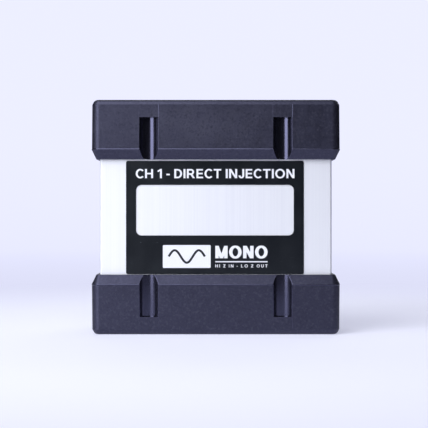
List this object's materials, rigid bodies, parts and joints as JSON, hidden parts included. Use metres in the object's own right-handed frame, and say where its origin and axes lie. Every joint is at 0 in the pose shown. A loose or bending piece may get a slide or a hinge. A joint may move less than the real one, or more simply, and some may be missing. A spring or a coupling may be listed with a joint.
{
  "type": "direct injection box",
  "caption": "Passive direct injection box: an extruded aluminium sleeve with a moulded bumper over each end, jacks in one end and an XLR in the other.",
  "frame": {"origin": "middle of the footprint, on the ground, with the box standing on its input end", "axes": "+X along its width, -Y out of the labelled front face, +Z from the input end to the output end"},
  "size_m": [0.1236, 0.05, 0.1165],
  "materials": {
    "sleeve": "satin extruded, lengthwise grain",
    "bumper": "fine moulded grain",
    "panel": "black powder coat",
    "label": "glossy black print",
    "black_screw": "black zinc",
    "nickel": "satin nickel plate",
    "connector_plastic": "moulded",
    "gold_pin": "gold flash",
    "phenolic": "laminated paper board",
    "circuit_board": "solder mask on glass fibre",
    "lamination": "stacked laminations",
    "bobbin": "moulded nylon",
    "winding_tape": "polyester tape",
    "resistor": "lacquer",
    "capacitor": "epoxy dip",
    "green_wire": "insulation",
    "red_wire": "insulation",
    "white_wire": "insulation"
  },
  "bodies": {
    "casing": {"sleeve": "sleeve", "output_bumper": "bumper", "input_bumper": "bumper", "output_panel": "panel", "input_panel": "panel", "face_label": "label", "output_bumper_screw_1": "black_screw", "output_bumper_screw_2": "black_screw", "output_bumper_screw_3": "black_screw", "output_bumper_screw_4": "black_screw", "input_bumper_screw_1": "black_screw", "input_bumper_screw_2": "black_screw", "input_bumper_screw_3": "black_screw", "input_bumper_screw_4": "black_screw", "xlr_screw_1": "black_screw", "xlr_screw_2": "black_screw", "ground_lift_switch_screw_1": "black_screw", "ground_lift_switch_screw_2": "black_screw", "pad_switch_screw_1": "black_screw", "pad_switch_screw_2": "black_screw", "xlr_shell": "nickel", "xlr_nut_1": "nickel", "xlr_nut_2": "nickel", "ground_lug": "nickel", "input_jack_bushing": "nickel", "input_jack_washer": "nickel", "input_jack_nut": "nickel", "input_jack_tip_spring": "nickel", "link_jack_bushing": "nickel", "link_jack_washer": "nickel", "link_jack_nut": "nickel", "link_jack_tip_spring": "nickel", "ground_lift_switch_frame": "nickel", "pad_switch_frame": "nickel", "transformer_strap": "nickel", "xlr_insert": "connector_plastic", "input_jack_body": "connector_plastic", "link_jack_body": "connector_plastic", "xlr_pin_1": "gold_pin", "xlr_pin_2": "gold_pin", "xlr_pin_3": "gold_pin", "ground_lift_switch_base": "phenolic", "pad_switch_base": "phenolic", "circuit_board": "circuit_board", "transformer_core": "lamination", "transformer_bobbin": "bobbin", "transformer_winding": "winding_tape", "pad_resistor_1": "resistor", "pad_resistor_2": "resistor", "pad_resistor_3": "resistor", "filter_capacitor": "capacitor", "xlr_lead_1": "green_wire", "xlr_lead_2": "red_wire", "xlr_lead_3": "white_wire"},
    "ground_lift_slider": {"ground_lift_switch_lever": "connector_plastic", "ground_lift_switch_contact": "nickel"},
    "pad_slider": {"pad_switch_lever": "connector_plastic", "pad_switch_contact": "nickel"}
  },
  "joints": [
    {"name": "ground_lift_slide", "type": "slide", "parent": "casing", "child": "ground_lift_slider", "axis": [1, 0, 0], "range_m": [0, 0.0045]},
    {"name": "pad_slide", "type": "slide", "parent": "casing", "child": "pad_slider", "axis": [-1, 0, 0], "range_m": [0, 0.0045]}
  ]
}
